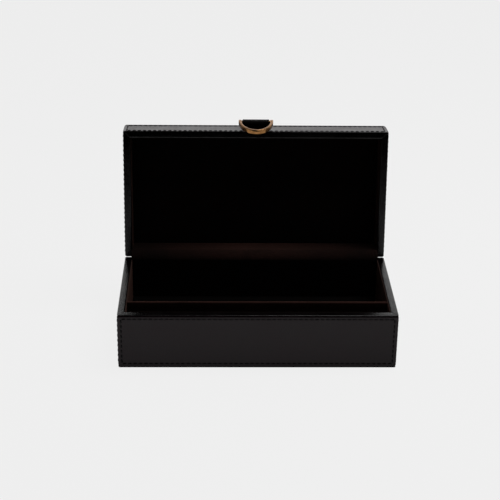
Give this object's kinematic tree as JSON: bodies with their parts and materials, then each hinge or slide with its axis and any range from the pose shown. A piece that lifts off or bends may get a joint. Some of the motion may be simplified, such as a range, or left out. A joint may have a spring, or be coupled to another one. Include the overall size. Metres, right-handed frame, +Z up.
{
  "type": "poker chip case",
  "caption": "Leather-covered box with a hinged lid, suede-lined chip bay and card bay, and a brass D-ring pull on the lid front.",
  "frame": {"origin": "centre of the underside of the base", "axes": "+X to the right of a person facing the front of the case, +Y to the rear, where the hinge is, and +Z up"},
  "size_m": [0.28, 0.1865, 0.2052],
  "materials": {
    "black_leather": "satin, fine grain",
    "brown_suede": "napped suede",
    "fibreboard": "raw",
    "ring_brass": "polished, lacquered",
    "hinge_brass": "satin",
    "black_thread": "waxed thread"
  },
  "bodies": {
    "base": {"base_floor_board": "fibreboard", "base_front_board": "fibreboard", "base_rear_board": "fibreboard", "base_left_board": "fibreboard", "base_right_board": "fibreboard", "base_front_leather": "black_leather", "base_rear_leather": "black_leather", "base_left_leather": "black_leather", "base_right_leather": "black_leather", "base_bottom_leather": "black_leather", "base_rim_binding": "black_leather", "base_front_lining": "brown_suede", "base_rear_lining": "brown_suede", "base_left_lining": "brown_suede", "base_right_lining": "brown_suede", "base_floor_lining": "brown_suede", "divider_board": "fibreboard", "divider_suede": "brown_suede", "chip_cradle": "brown_suede", "hinge_base_leaf": "hinge_brass", "hinge_pin": "hinge_brass", "hinge_base_screws": "hinge_brass", "hinge_gusset": "brown_suede"},
    "lid": {"lid_top_board": "fibreboard", "lid_front_board": "fibreboard", "lid_rear_board": "fibreboard", "lid_left_board": "fibreboard", "lid_right_board": "fibreboard", "lid_top_leather": "black_leather", "lid_front_leather": "black_leather", "lid_rear_leather": "black_leather", "lid_left_leather": "black_leather", "lid_right_leather": "black_leather", "lid_rim_binding": "black_leather", "lid_front_lining": "brown_suede", "lid_rear_lining": "brown_suede", "lid_left_lining": "brown_suede", "lid_right_lining": "brown_suede", "lid_top_lining": "brown_suede", "hinge_lid_leaf": "hinge_brass", "hinge_lid_screws": "hinge_brass", "pull_chape": "black_leather"},
    "ring": {"pull_ring": "ring_brass"}
  },
  "joints": [
    {"name": "lid_hinge", "type": "hinge", "parent": "base", "child": "lid", "pos_m": [0, 0.06925, 0.0593], "axis": [1, 0, 0], "range_deg": [0, 97], "deforming": ["hinge_gusset"]},
    {"name": "ring_swing", "type": "hinge", "parent": "lid", "child": "ring", "pos_m": [0, 0.10033, 0.20248], "axis": [-1, 0, 0], "range_deg": [0, 195]}
  ]
}
